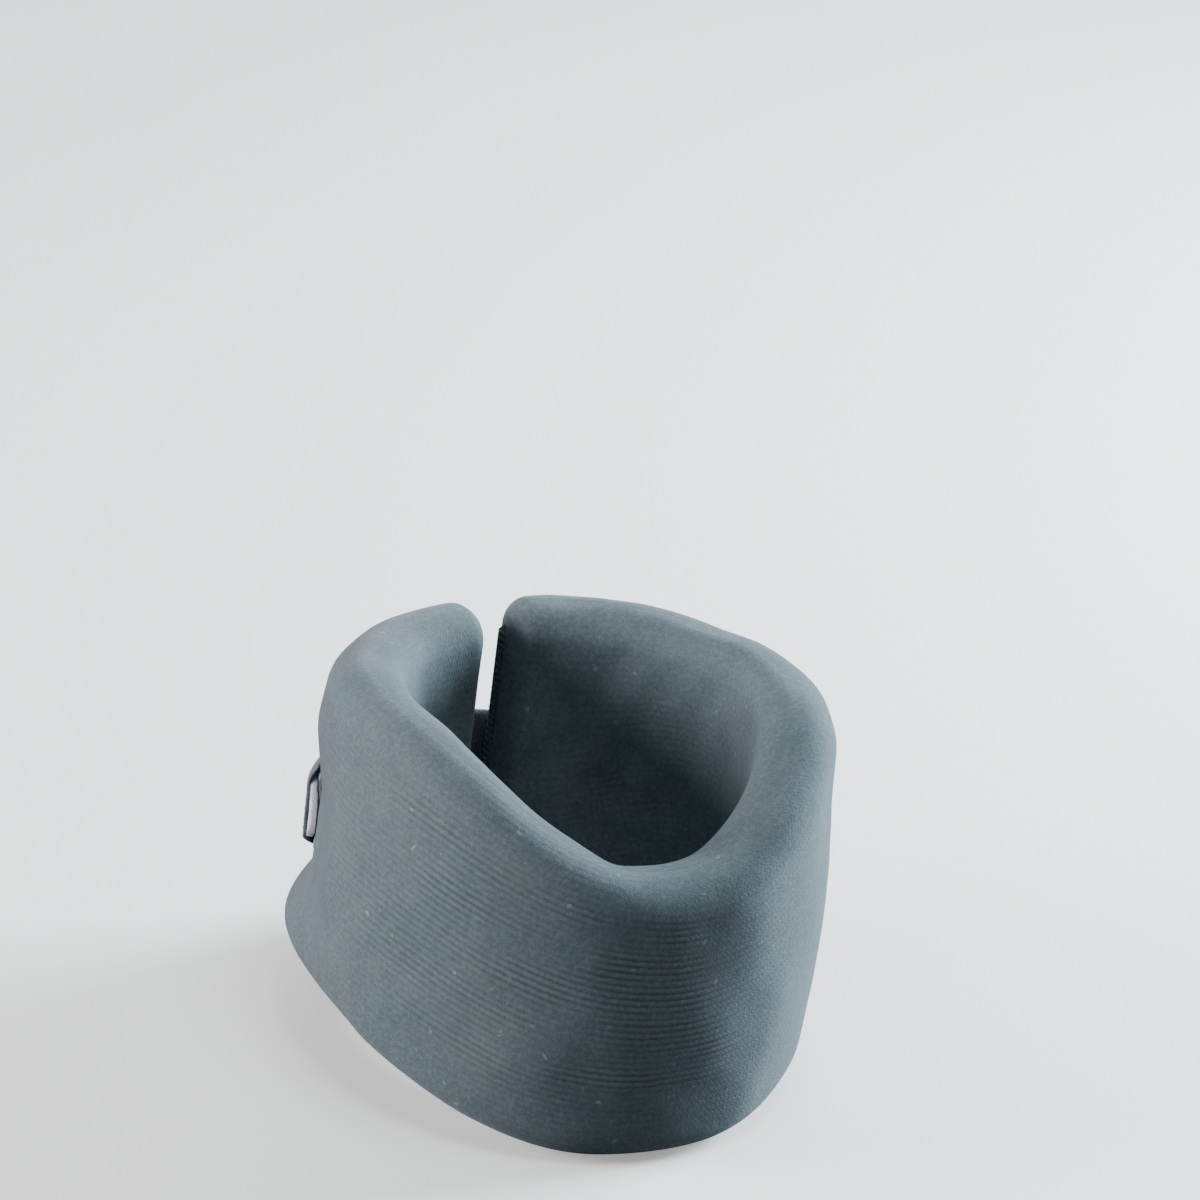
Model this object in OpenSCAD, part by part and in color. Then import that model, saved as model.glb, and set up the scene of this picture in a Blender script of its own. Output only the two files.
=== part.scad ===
// Soft cervical collar: a foam pad in a ribbed tubular cover, closed behind the neck by a
// hook-and-loop strap. Millimetres and degrees. The chin faces -Y, the wearer's left is +X,
// +Z is up, and the origin is the middle of the neck opening, on the surface it stands on.
//
// A place on the pad is a bearing and a height. Bearings run from 0 at the chin towards the
// wearer's left; the wearer's right is negative. The strap starts left of the nape and ends
// at the right, so its bearings run on past -180.

/* [Pad] */
// Half width of the pad's outer face, side to side
outer_half_w = 66.5; // [60:0.5:76]
// Half depth of the pad's outer face, chin to nape
outer_half_d = 70.5; // [64:0.5:80]
// Thickness of the pad
pad_t = 20; // [18:0.5:24]
// How far the outer face bulges at mid height
crown = 2.2; // [0.5:0.1:3]
// How far the inner face bulges at mid height
inner_crown = 1; // [0:0.1:2]
// How far the walls lean in per millimetre of height
lean = 0.03; // [0:0.005:0.05]
// Radius of the top edge
top_r = 9; // [7:0.5:9]
// Radius of the bottom edge
bottom_r = 7; // [6:0.5:8]
// Clear gap between the pad's two ends, behind the neck
end_gap = 11; // [8:1:20]
// Radius of the two ends' edges
end_r = 6; // [3:0.5:6]

/* [Heights] */
// Height of the dip under the chin
front_h = 77; // [70:1:85]
// Height of the crests beside the jaw
side_h = 103; // [98:1:110]
// Bearing of the crests
side_peak = 76; // [65:1:90]
// Height at the nape
back_h = 98; // [92:1:100]
// Lift of the bottom edge over the shoulders
arch_h = 20; // [8:1:22]
// Bearing where the lift is greatest
arch_peak = 100; // [90:1:110]

/* [Cover] */
// Thickness of the knitted cover
cover_t = 1.2; // [0.8:0.1:1.6]
// Room between the cover and the foam
cover_room = 0.2; // [0.1:0.05:0.4]

/* [Strap] */
// Width of the strap
strap_w = 25; // [22:1:30]
// Thickness of the strap's backing
strap_t = 1; // [0.8:0.1:1.6]
// Width of the hook strip; the backing droops to the pad beside it
hook_w = 16; // [14:1:18]
// Thickness of the hook strip
hook_t = 1.9; // [1:0.1:2]
// Thickness of the loop strip
loop_t = 0.5; // [0.4:0.1:1]
// Height of the strap's middle where it is sewn on
strap_root_z = 47; // [44:1:50]
// Height of the strap's middle at its tip
strap_tip_z = 55.5; // [50:0.5:58]
// Radius of the tip's two corners
tip_r = 12; // [8:1:13]
// Length of the sewn-on root, in degrees round the neck
root_span = 22; // [16:1:22]
// Bearing of the strap's tip
tip_bearing = -114; // [-120:1:-112]
// How far the strap presses the pad in
squeeze = 4.8; // [2:0.2:6]
// How far the pad swells below the strap
swell = 2.6; // [0:0.2:3]

/* [Hinge lines] */
// Bearing of the front pair of bend lines
bend_front = 70; // [66:1:74]
// Bearing of the rear pair of bend lines
bend_rear = 130; // [126:1:134]

/* [Thread] */
// Thickness of the sewing thread
thread_d = 0.7; // [0.4:0.1:0.9]
// Length of one stitch
stitch_l = 2.6; // [1.5:0.1:3]
// Distance from one stitch to the next
stitch_step = 4.5; // [4:0.5:8]

/* [Hidden] */
$fn = 24;
// Half of the gap at a bend line, and between two parts of the strap, in degrees
cut = 0.15;
// Clearance between layers that lie on each other
lay = 0.1;
// Clearance between hooks and loops
mesh_gap = 0.2;
// Clearance between a stitch and the face it lies on
thread_gap = 0.12;
// Distance from a bend's axis to the outermost face inside it
axis_gap = 0.4;
// Millimetres per degree at half the pad's thickness
mm_per_deg = ((outer_half_w + outer_half_d) / 2 - pad_t / 2) * PI / 180;
// Millimetres per degree at the outer face
face_mm = (outer_half_w + outer_half_d) / 2 * PI / 180;
// Bearing of the pad's left end
end_bearing = 180 - end_gap / 2 / mm_per_deg;
// The bottom edge stands flat before the first and after the second of these bearings
flat_front = 12;
flat_back = 165;

// Strap bearings, from the sewn root to the tip
root_end = -186;
root_start = root_end - root_span;
lead_start = root_end + 2 * cut;
lead_end = -179;
band_start = lead_end + 2 * cut;
band_end = -(bend_rear + 5);
tip_start = band_end + 2 * cut;
hook_start = -171;
loop_start = -172;
loop_end = -114;
loop_w = hook_w + 4;
// Radius of the hook strip's two end corners, and how far it reaches past the backing's tip
hook_tip_r = 5;
hook_past = 0.6;
// Offsets from the pad's outer face
loop_n = lay;
hook_n = loop_n + loop_t + mesh_gap;
band_n = hook_n + hook_t + lay;
// How far the tip stands off the loops
tip_lift = 0.2;
// Half width over which the backing lies on the hooks, and the width beside it over which it
// droops to the pad
flat_half = hook_w / 2 + 0.8;
droop_w = 3.2;

// Blank care label, sewn on the inside at the wearer's right
label_w = 24;
label_h = 15;
label_t = 0.4;
label_bearing = -100;

// Steps of each piece round the neck
front_steps = 20;
side_steps = 9;
back_steps = 6;
end_steps = 3;

// Heights from the strap's middle: the edge of the deepest strip, a line just outside the
// strap, the line where the pad swells below it, and where that swelling has faded
press_flat = hook_w / 2;
press_slope = strap_w / 2 + 4.5;
press_edge = press_slope + 12;
press_fade = press_edge + 12;
// Share of the squeeze at the four inner lines, from the lowest up
press_share = [0.85, 1, 0.9, 0.45];
// Degrees round from the chin, through the right side, between which the press sets in and
// fades, and between which the rows turn from mid height to the strap's line and back
press_on = [85, 105];
press_off = [212, 235];
rows_on = [60, 85];
rows_off = [235, 260];

// Colours
foam_colour = [0.86, 0.84, 0.76];
knit_colour = [0.41, 0.46, 0.49];
webbing_colour = [0.33, 0.37, 0.41];
hook_colour = [0.83, 0.83, 0.89];
loop_colour = [0.55, 0.58, 0.62];
thread_colour = [0.2, 0.23, 0.27];
label_colour = [0.92, 0.92, 0.9];
label_thread_colour = [0.6, 0.62, 0.64];

// ---- Shape laws ----

// 0 below 0, 1 above 1, and a smooth S between
function smooth(x) = let(v = min(max(x, 0), 1)) v * v * (3 - 2 * v);
function mix(a, b, t) = a + (b - a) * t;
function across_span(x, span) = smooth((x - span[0]) / (span[1] - span[0]));

// Bearing without its side: 0 at the chin, 180 at the nape
function turn(b) = abs(b) > 180 ? 360 - abs(b) : abs(b);
// Bearing on the strap's run: 0 at the chin, through the right side, to -360
function run(b) = b > 0 ? b - 360 : b;

function top_z(b) = let(s = turn(b))
    mix(front_h, side_h, smooth(s / side_peak))
    - (side_h - back_h) * smooth((s - side_peak) / (180 - side_peak));
function bottom_z(b) = let(s = turn(b))
    arch_h * smooth((s - flat_front) / (arch_peak - flat_front))
    * (1 - smooth((s - arch_peak) / (flat_back - arch_peak)));
function middle_z(b) = (top_z(b) + bottom_z(b)) / 2;

// Height of the strap's middle: a straight line on the unrolled pad
function strap_z(b) = mix(
    strap_root_z, strap_tip_z,
    (run(b) - (root_start + root_end) / 2) / (tip_bearing - (root_start + root_end) / 2));

// 1 where the strap presses the pad, fading to 0 in front of its tip and its root
function pressed(b) = across_span(-run(b), press_on) * (1 - across_span(-run(b), press_off));
// Middle of the rows of the outer face: the strap's line where it presses, else mid height
function row_z(b) = mix(
    middle_z(b), strap_z(b),
    across_span(-run(b), rows_on) * (1 - across_span(-run(b), rows_off)));
// Scale that keeps the rows between the edges' radii
function row_scale(b) = min(
    1,
    (row_z(b) - bottom_z(b) - bottom_r) / (press_edge + 1),
    (top_z(b) - top_r - row_z(b)) / (press_edge + 1));

function bulge(b, z) = 1 - pow((z - middle_z(b)) / (top_z(b) - middle_z(b)), 2);
function press(b, z) = pressed(b) * lookup((z - row_z(b)) / row_scale(b), [
    [-press_fade, 0], [-press_edge, swell],
    [-press_slope, -squeeze * press_share[0]], [-press_flat, -squeeze * press_share[1]],
    [press_flat, -squeeze * press_share[2]], [press_slope, -squeeze * press_share[3]],
    [press_edge, 0]
]);
function lean_n(z) = -lean * (z - back_h / 2);

// Distance of each face from the outer ellipse, outwards
function outer_n(b, z) = crown * bulge(b, z) + press(b, z) + lean_n(z);
function inner_n(b, z) = -inner_crown * bulge(b, z) + lean_n(z);

// Bearing of the tangent, and the point at a bearing, distance and height
function heading(b) = atan2(outer_half_d * sin(b), outer_half_w * cos(b));
function place(b, n, z) = let(h = heading(b))
    [outer_half_w * sin(b) + n * sin(h), -outer_half_d * cos(b) - n * cos(h), z];
function on_outer(b, z, n) = place(b, outer_n(b, z) + n, z);
function on_inner(b, z, n) = place(b, inner_n(b, z) - pad_t - n, z);

// ---- Bend axes: upright lines just outside the outermost face they bend ----

function pad_axis(b) = place(b, axis_gap + max([
    for (z = [bottom_z(b):1:top_z(b)]) outer_n(b, z)]), 0);
function strap_axis(b, n) = place(b, axis_gap + n + max([
    for (d = [-1:0.2:1]) outer_n(b, strap_z(b) + d * strap_w / 2)]), 0);

// ---- Sections of the pad ----

function arc(n, z, r, q0, q1, steps) =
    [for (i = [0:steps]) let(q = mix(q0, q1, i / steps)) [n + r * cos(q), z + r * sin(q)]];

// Rows between the edges' radii, upwards
function rows(b) = [
    for (v = [-press_edge, -press_slope, -press_flat, press_flat, press_slope, press_edge])
        row_z(b) + v * row_scale(b)
];

// Half sections, set in by e: up the outer side, then down the inner side
function outer_half(b, e) = let(rb = bottom_r - e, rt = top_r - e)
    concat(
        arc(-e - rb, bottom_z(b) + bottom_r, rb, -90, 0, 2),
        [for (z = rows(b)) [-e, z]],
        arc(-e - rt, top_z(b) - top_r, rt, 0, 90, 3));
function inner_half(b, e) = let(rb = bottom_r - e, rt = top_r - e, n = e - pad_t)
    concat(
        arc(n + rt, top_z(b) - top_r, rt, 90, 180, 3),
        [for (z = reversed(rows(b))) [n, z]],
        arc(n + rb, bottom_z(b) + bottom_r, rb, 180, 270, 2));
function section(b, e) = concat(
    [for (p = outer_half(b, e)) place(b, p[0] + outer_n(b, p[1]), p[1])],
    [for (p = inner_half(b, e)) place(b, p[0] + inner_n(b, p[1]), p[1])]);
function sections(stations) = [for (s = stations) section(s[0], s[1])];

function reversed(list) = [for (i = [len(list) - 1:-1:0]) list[i]];
// Stations of one piece, as bearing and inset, always in the order of rising bearing
function between(b0, b1, steps, e) = [for (i = [0:steps]) [mix(b0, b1, i / steps), e]];
function mirrored(stations) = [for (s = reversed(stations)) [-s[0], s[1]]];

function front_stations(e) = between(-bend_front + cut, bend_front - cut, front_steps, e);
function left_side_stations(e) = between(bend_front + cut, bend_rear - cut, side_steps, e);
function left_back_stations(e) = concat(
    between(bend_rear + cut, end_bearing - end_r / mm_per_deg, back_steps, e),
    [for (i = [1:end_steps]) let(q = 90 * i / end_steps, r = end_r - e)
        [end_bearing - (e + r * (1 - sin(q))) / mm_per_deg, e + r * (1 - cos(q))]]);

// ---- Skins ----
// A ring is a closed section whose point i faces point n - 1 - i, so a cap is a ladder.

function flat(lists) = [for (l = lists) each l];
function flipped(faces) = [for (f = faces) [f[0], f[2], f[1]]];
function wall(n, count, base = 0) = [
    for (j = [0:count - 2], i = [0:n - 1])
        let(k = (i + 1) % n, a = base + j * n, c = a + n)
            each [[a + i, c + i, c + k], [a + i, c + k, a + k]]
];
function cap(n, base) = [
    for (i = [0:n / 2 - 2])
        let(a = base + i, b = base + n - 1 - i)
            each [[a, a + 1, b - 1], [a, b - 1, b]]
];
function rim(n, outer, inner) = [
    for (i = [0:n - 1]) let(k = (i + 1) % n)
        each [[outer + i, outer + k, inner + k], [outer + i, inner + k, inner + i]]
];

// Solid through a list of rings
module loft(rings) {
    n = len(rings[0]);
    count = len(rings);
    faces = concat(wall(n, count), cap(n, 0), flipped(cap(n, (count - 1) * n)));
    polyhedron(points = flat(rings), faces = faces, convexity = 6);
}

// Sleeve between two lists of rings; each end is an open mouth or sewn shut
module sleeve(outer, inner, start_shut = false, end_shut = false) {
    n = len(outer[0]);
    count = len(outer);
    last = (count - 1) * n;
    base = count * n;
    walls = concat(wall(n, count), flipped(wall(n, count, base)));
    start = start_shut ? concat(cap(n, 0), flipped(cap(n, base))) : rim(n, 0, base);
    end = end_shut
        ? concat(flipped(cap(n, last)), cap(n, base + last))
        : flipped(rim(n, last, base + last));
    polyhedron(
        points = concat(flat(outer), flat(inner)), faces = concat(walls, start, end),
        convexity = 8);
}

// ---- Foam and cover ----

foam_inset = cover_t + cover_room;

module foam(stations) {
    color(foam_colour) loft(sections(stations));
}

module cover(outer, inner, start_shut = false, end_shut = false) {
    color(knit_colour) sleeve(sections(outer), sections(inner), start_shut, end_shut);
}

module foam_front() {
    foam(front_stations(foam_inset));
}

module foam_left_side() {
    foam(left_side_stations(foam_inset));
}

module foam_right_side() {
    foam(mirrored(left_side_stations(foam_inset)));
}

module foam_left_back() {
    foam(left_back_stations(foam_inset));
}

module foam_right_back() {
    foam(mirrored(left_back_stations(foam_inset)));
}

module cover_front() {
    cover(front_stations(0), front_stations(cover_t));
}

module cover_left_side() {
    cover(left_side_stations(0), left_side_stations(cover_t));
}

module cover_right_side() {
    cover(mirrored(left_side_stations(0)), mirrored(left_side_stations(cover_t)));
}

module cover_left_back() {
    cover(left_back_stations(0), left_back_stations(cover_t), end_shut = true);
}

module cover_right_back() {
    cover(
        mirrored(left_back_stations(0)), mirrored(left_back_stations(cover_t)),
        start_shut = true);
}

// ---- Flat pieces laid on the pad ----

// Half width of a strap at a distance from its rounded end
function round_end(half_w, r, from_end) =
    half_w - (from_end < r ? r - sqrt(r * r - pow(r - from_end, 2)) : 0);

// Heights from the strap's middle at which a ring of half width h has its points
function across(h) = let(k = min(flat_half, 0.92 * h), m = min(flat_half + droop_w, 0.96 * h))
    [-h, -m, -k, k, m, h];
// Ring of a strip: half width h, from n0 to n1 off the outer face
function strip_ring(b, h, n0, n1) = concat(
    [for (d = across(h)) on_outer(b, strap_z(b) + d, n1)],
    [for (d = reversed(across(h))) on_outer(b, strap_z(b) + d, n0)]);

// Bearings from b0 to b1, about every 3 degrees
function strip(b0, b1) = let(steps = ceil((b1 - b0) / 3))
    [for (i = [0:steps]) mix(b0, b1, i / steps)];
// The same, closer together near an end rounded with radius r
function rounded_strip(b0, b1, r) = concat(
    strip(b0, b1 - r / face_mm),
    [for (q = [22.5:22.5:90]) b1 - r * (1 - sin(q)) / face_mm]);

// How far the strap stands off: it climbs from the sewn root over the loops and hooks
function climb(b) = mix(lay, band_n, smooth((b - lead_start) / (loop_start - lead_start)));
function lift(b) = tip_lift * smooth((b - tip_start) / (tip_bearing - tip_start));
// 0 over the hooks, 1 along the strap's edges, which lie on the pad
function droop(d) = min(1, max(0, abs(d) - flat_half) / droop_w);
function backing_n(b, d) = mix(climb(b), lay, droop(d)) + lift(b);
// Ring of the strap's backing: half width h
function backing_ring(b, h) = concat(
    [for (d = across(h)) on_outer(b, strap_z(b) + d, backing_n(b, d) + strap_t)],
    [for (d = reversed(across(h))) on_outer(b, strap_z(b) + d, backing_n(b, d))]);

module flat_strip(b0, b1, w, n, t) {
    loft([for (b = strip(b0, b1)) strip_ring(b, w / 2, n, n + t)]);
}

module loop_strip_back() {
    color(loop_colour) flat_strip(loop_start, -bend_rear - cut, loop_w, loop_n, loop_t);
}

module loop_strip_side() {
    color(loop_colour) flat_strip(-bend_rear + cut, loop_end, loop_w, loop_n, loop_t);
}

module strap_root() {
    color(webbing_colour) flat_strip(root_start, root_end, strap_w, lay, strap_t);
}

module backing(b0, b1) {
    color(webbing_colour) loft([for (b = strip(b0, b1)) backing_ring(b, strap_w / 2)]);
}

module strap_lead() {
    backing(lead_start, lead_end);
}

module strap_band() {
    backing(band_start, band_end);
}

module hook_strip_band() {
    color(hook_colour) flat_strip(hook_start, band_end, hook_w, hook_n, hook_t);
}

module strap_tip() {
    color(webbing_colour)
        loft([
            for (b = rounded_strip(tip_start, tip_bearing, tip_r))
                backing_ring(b, round_end(strap_w / 2, tip_r, (tip_bearing - b) * face_mm))
        ]);
}

module hook_strip_tip() {
    end = tip_bearing + hook_past / face_mm;
    color(hook_colour)
        loft([
            for (b = rounded_strip(tip_start, end, hook_tip_r))
                let(h = round_end(hook_w / 2, hook_tip_r, (end - b) * face_mm), n = hook_n + lift(b))
                    strip_ring(b, h, n, n + hook_t)
        ]);
}

module care_label() {
    half = label_w / 2 / face_mm;
    z0 = middle_z(label_bearing) - label_h / 2;
    rise = [0, label_h / 2, label_h];
    color(label_colour)
        loft([
            for (b = strip(label_bearing - half, label_bearing + half))
                concat(
                    [for (d = rise) on_inner(b, z0 + d, lay)],
                    [for (d = reversed(rise)) on_inner(b, z0 + d, lay + label_t)])
        ]);
}

// Axes of the seven bends, echoed so that the joints can be stated from them: two front and
// two rear bends of the pad, and three of the strap
echo(open_front = [for (side = [1, -1]) pad_axis(side * bend_front)]);
echo(open_rear = [for (side = [1, -1]) pad_axis(side * bend_rear)]);
echo(bend_strap = strap_axis((root_end + lead_start) / 2, lay + strap_t));
echo(peel_strap = strap_axis((lead_end + band_start) / 2, climb(band_start) + strap_t));
echo(peel_tip = strap_axis((band_end + tip_start) / 2, band_n + strap_t));

// ---- Stitching ----

// One stitch at a point, lying along the strap or upright
module stitch(at, b, upright) {
    translate(at)
        rotate([0, 0, heading(b)])
            rotate(upright ? [0, 0, 0] : [0, 90, 0])
                cylinder(d = thread_d, h = stitch_l, center = true);
}

// Row of stitches along the strap, at a height d from its middle; n is the face they lie on
module seam_row(b0, b1, d, n) {
    count = floor((b1 - b0) * face_mm / stitch_step);
    for (i = [0:count - 1]) {
        b = mix(b0, b1, (i + 0.5) / count);
        at = on_outer(b, strap_z(b) + d, n + thread_gap + thread_d / 2);
        stitch(at, b, false);
    }
}

// Upright row of stitches across the strap, over a height h
module seam_column(b, h, n) {
    count = floor(h / stitch_step);
    for (i = [0:count - 1]) {
        d = h * ((i + 0.5) / count - 0.5);
        at = on_outer(b, strap_z(b) + d, n + thread_gap + thread_d / 2);
        stitch(at, b, true);
    }
}

// Distance of the root's seams from its edges, and of the other strips' seams from theirs
root_seam_in = 3;
strip_seam_in = 1.1;
label_seam_in = 2;
seam_deg = root_seam_in / face_mm;
root_seam_d = strap_w / 2 - root_seam_in;
hook_seam_d = hook_w / 2 - strip_seam_in;
loop_seam_d = loop_w / 2 - strip_seam_in;
// Degrees left free between a row of stitches and a corner, and before the tip's cross seam
corner_deg = 1.5;
before_tip = 6;

module strap_root_stitching() {
    n = lay + strap_t;
    b0 = root_start + seam_deg;
    b1 = root_end - seam_deg;
    color(thread_colour) {
        for (d = [-root_seam_d, root_seam_d]) {
            seam_row(b0 + corner_deg, b1 - corner_deg, d, n);
        }
        for (b = [b0, b1]) {
            seam_column(b, 2 * root_seam_d - root_seam_in, n);
        }
    }
}

module loop_rows(b0, b1) {
    for (d = [-loop_seam_d, loop_seam_d]) {
        seam_row(b0, b1, d, loop_n + loop_t);
    }
}

module loop_stitching_back() {
    color(thread_colour) loop_rows(loop_start + 1, -bend_rear - 1);
}

module loop_stitching_side() {
    color(thread_colour) loop_rows(-bend_rear + 1, loop_end - 1);
}

module band_stitching() {
    n = band_n + strap_t;
    color(thread_colour) {
        for (d = [-hook_seam_d, hook_seam_d]) {
            seam_row(loop_start + 1, band_end - 1, d, n);
        }
    }
}

module tip_stitching() {
    b1 = tip_bearing - seam_deg;
    end = b1 - before_tip;
    color(thread_colour) {
        for (d = [-hook_seam_d, hook_seam_d]) {
            seam_row(tip_start + 1, end, d, band_n + strap_t + lift(end));
        }
        seam_column(b1, hook_seam_d * 1.5, band_n + strap_t + lift(b1));
    }
}

module care_label_stitching() {
    half = (label_w / 2 - label_seam_in) / face_mm;
    count = floor(label_h / stitch_step);
    color(label_thread_colour)
        for (b = [label_bearing - half, label_bearing + half], i = [0:count - 1]) {
            z = middle_z(b) + label_h * ((i + 0.5) / count - 0.5);
            stitch(on_inner(b, z, lay + label_t + thread_gap + thread_d / 2), b, true);
        }
}

// Stitches that close the cover over one end of the pad; side is 1 for left, -1 for right
module end_seam(side) {
    b = side * end_bearing;
    z0 = bottom_z(b) + 2 * end_r;
    count = floor((top_z(b) - 2 * end_r - z0) / stitch_step);
    color(thread_colour)
        for (i = [0:count - 1]) {
            z = z0 + (i + 0.5) * stitch_step;
            at = place(b, lean_n(z) - pad_t / 2, z);
            h = heading(b);
            off = side * (thread_d / 2 + thread_gap);
            translate(at + off * [cos(h), sin(h), 0])
                rotate([0, 0, h])
                    rotate([90, 0, 0])
                        cylinder(d = thread_d, h = stitch_l + 1, center = true);
        }
}

module right_end_seam() {
    end_seam(-1);
}

module left_end_seam() {
    end_seam(1);
}

foam_front();
foam_right_side();
foam_right_back();
foam_left_side();
foam_left_back();
cover_front();
cover_right_side();
cover_right_back();
cover_left_side();
cover_left_back();
right_end_seam();
left_end_seam();
loop_strip_back();
loop_strip_side();
loop_stitching_back();
loop_stitching_side();
strap_root();
strap_root_stitching();
strap_lead();
strap_band();
hook_strip_band();
band_stitching();
strap_tip();
hook_strip_tip();
tip_stitching();
care_label();
care_label_stitching();
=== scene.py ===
"""Soft cervical collar: rib-knit cover, foam pad, hook-and-loop strap, stitching and studio.

Lengths are millimetres and angles are degrees until a mesh is made, which turns them to metres.
A bearing is 0 at the chin, positive towards the wearer's left and negative towards the right;
the strap starts left of the nape, so its bearings run on past -180.
"""

import math

import bmesh
import bpy
import numpy as np
from mathutils import Matrix, Vector


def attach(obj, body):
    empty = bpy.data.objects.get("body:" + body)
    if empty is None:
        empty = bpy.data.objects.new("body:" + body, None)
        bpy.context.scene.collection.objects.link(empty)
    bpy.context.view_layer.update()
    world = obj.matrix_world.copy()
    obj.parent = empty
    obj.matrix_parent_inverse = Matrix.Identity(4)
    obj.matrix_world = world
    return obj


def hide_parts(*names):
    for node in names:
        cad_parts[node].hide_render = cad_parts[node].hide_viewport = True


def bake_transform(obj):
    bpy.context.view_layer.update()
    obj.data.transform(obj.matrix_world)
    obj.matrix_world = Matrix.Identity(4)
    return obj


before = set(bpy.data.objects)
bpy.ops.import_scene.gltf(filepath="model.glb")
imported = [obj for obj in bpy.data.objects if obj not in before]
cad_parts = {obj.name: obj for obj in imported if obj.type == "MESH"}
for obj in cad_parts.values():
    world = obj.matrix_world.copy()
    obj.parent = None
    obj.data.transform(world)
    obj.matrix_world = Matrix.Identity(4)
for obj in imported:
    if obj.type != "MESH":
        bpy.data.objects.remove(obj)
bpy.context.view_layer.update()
MM = 0.001

# ---- The driving sizes, as the CAD has them ----

# The pad: outer ellipse, thickness, crowns of its faces, lean, and the radii of its edges
OUTER_HALF_W = 66.5
OUTER_HALF_D = 70.5
PAD_T = 20.0
CROWN = 2.2
INNER_CROWN = 1.0
LEAN = 0.03
TOP_R = 9.0
BOTTOM_R = 7.0
END_R = 6.0
END_GAP = 11.0
# Its heights, with the bearings where they are reached
FRONT_H = 77.0
SIDE_H = 103.0
SIDE_PEAK = 76.0
BACK_H = 98.0
ARCH_H = 20.0
ARCH_PEAK = 100.0
FLAT_FRONT = 12.0
FLAT_BACK = 165.0
# Its hinge lines
BEND_FRONT = 70.0
BEND_REAR = 130.0
# How deep the strap presses it in, and how it does so across the strap and along it
SQUEEZE = 4.8
SWELL = 2.6
PRESS_FLAT = 8.0
PRESS_SLOPE = 17.0
PRESS_EDGE = 29.0
PRESS_FADE = 41.0
PRESS_SHARE = (0.85, 1.0, 0.9, 0.45)
PRESS_ON = (85.0, 105.0)
PRESS_OFF = (212.0, 235.0)
ROWS_ON = (60.0, 85.0)
ROWS_OFF = (235.0, 260.0)

# The strap, with the bearings of its ends and bends, and the strips under it
STRAP_W = 25.0
STRAP_T = 1.0
TIP_R = 12.0
TIP_LIFT = 0.2
ROOT_START = -208.0
ROOT_END = -186.0
LEAD_START = -185.7
BEND_LINE = -185.85
PEEL_LINE = -178.85
TIP_LINE = -134.85
TIP_START = -134.7
TIP_BEARING = -114.0
STRAP_ROOT_Z = 47.0
STRAP_TIP_Z = 55.5
LOOP_START = -172.0
LOOP_END = -114.0
LOOP_W = 20.0
LOOP_T = 0.5
HOOK_START = -171.0
HOOK_W = 16.0
HOOK_T = 1.9
HOOK_TIP_R = 5.0
HOOK_PAST = 0.6
DROOP_W = 3.2
LAY = 0.1
MESH_GAP = 0.2
HOOK_N = LAY + LOOP_T + MESH_GAP
BAND_N = HOOK_N + HOOK_T + LAY

COVER_T = 1.2
FOAM_INSET = 1.6

# Millimetres per degree: along the pad's middle, and along its outer face
MM_PER_DEG = ((OUTER_HALF_W + OUTER_HALF_D) / 2 - PAD_T / 2) * math.pi / 180
FACE_MM = (OUTER_HALF_W + OUTER_HALF_D) / 2 * math.pi / 180
END_BEARING = 180 - END_GAP / 2 / MM_PER_DEG

# ---- The knit ----

RIBS = 104
ROWS_PER_RIB = 6
ROWS = RIBS * ROWS_PER_RIB
RIB_PROFILE = np.array([-1.0, 0.15, 0.72, 0.9, 0.72, 0.15])
RIB_HEIGHT = 0.12
STATION_MM = 2.6

# Where the cover is divided, so that each piece spans one hinge line
SPLIT_FRONT = 44.0
SPLIT_SIDE = 100.0


def smooth(x):
    v = np.clip(x, 0.0, 1.0)
    return v * v * (3 - 2 * v)


def across_span(x, span):
    return smooth((x - span[0]) / (span[1] - span[0]))


def mix(a, b, t):
    return a + (b - a) * t


def turn(b):
    """Bearing without its side: 0 at the chin, 180 at the nape."""
    return np.where(np.abs(b) > 180, 360 - np.abs(b), np.abs(b))


def run(b):
    """Bearing on the strap's run, 0 to -360."""
    return np.where(np.asarray(b) > 0, np.asarray(b) - 360.0, b)


def top_z(b):
    s = turn(b)
    rise = mix(FRONT_H, SIDE_H, smooth(s / SIDE_PEAK))
    return rise - (SIDE_H - BACK_H) * smooth((s - SIDE_PEAK) / (180 - SIDE_PEAK))


def bottom_z(b):
    s = turn(b)
    up = smooth((s - FLAT_FRONT) / (ARCH_PEAK - FLAT_FRONT))
    down = 1 - smooth((s - ARCH_PEAK) / (FLAT_BACK - ARCH_PEAK))
    return ARCH_H * up * down


def middle_z(b):
    return (top_z(b) + bottom_z(b)) / 2


def strap_z(b):
    mid = (ROOT_START + ROOT_END) / 2
    return mix(STRAP_ROOT_Z, STRAP_TIP_Z, (run(b) - mid) / (TIP_BEARING - mid))


def pressed(b):
    """How much of the strap's pressure there is at a bearing, 0 to 1."""
    return across_span(-run(b), PRESS_ON) * (1 - across_span(-run(b), PRESS_OFF))


def row_z(b):
    """Middle height of the pressed rows: the strap's line where it lies, else the pad's."""
    near = across_span(-run(b), ROWS_ON) * (1 - across_span(-run(b), ROWS_OFF))
    return mix(middle_z(b), strap_z(b), near)


def row_scale(b):
    """Scale that keeps the pressed rows between the edges' radii."""
    low = (row_z(b) - bottom_z(b) - BOTTOM_R) / (PRESS_EDGE + 1)
    high = (top_z(b) - TOP_R - row_z(b)) / (PRESS_EDGE + 1)
    return np.minimum(1.0, np.minimum(low, high))


def bulge(b, z):
    return 1 - ((z - middle_z(b)) / (top_z(b) - middle_z(b))) ** 2


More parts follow.
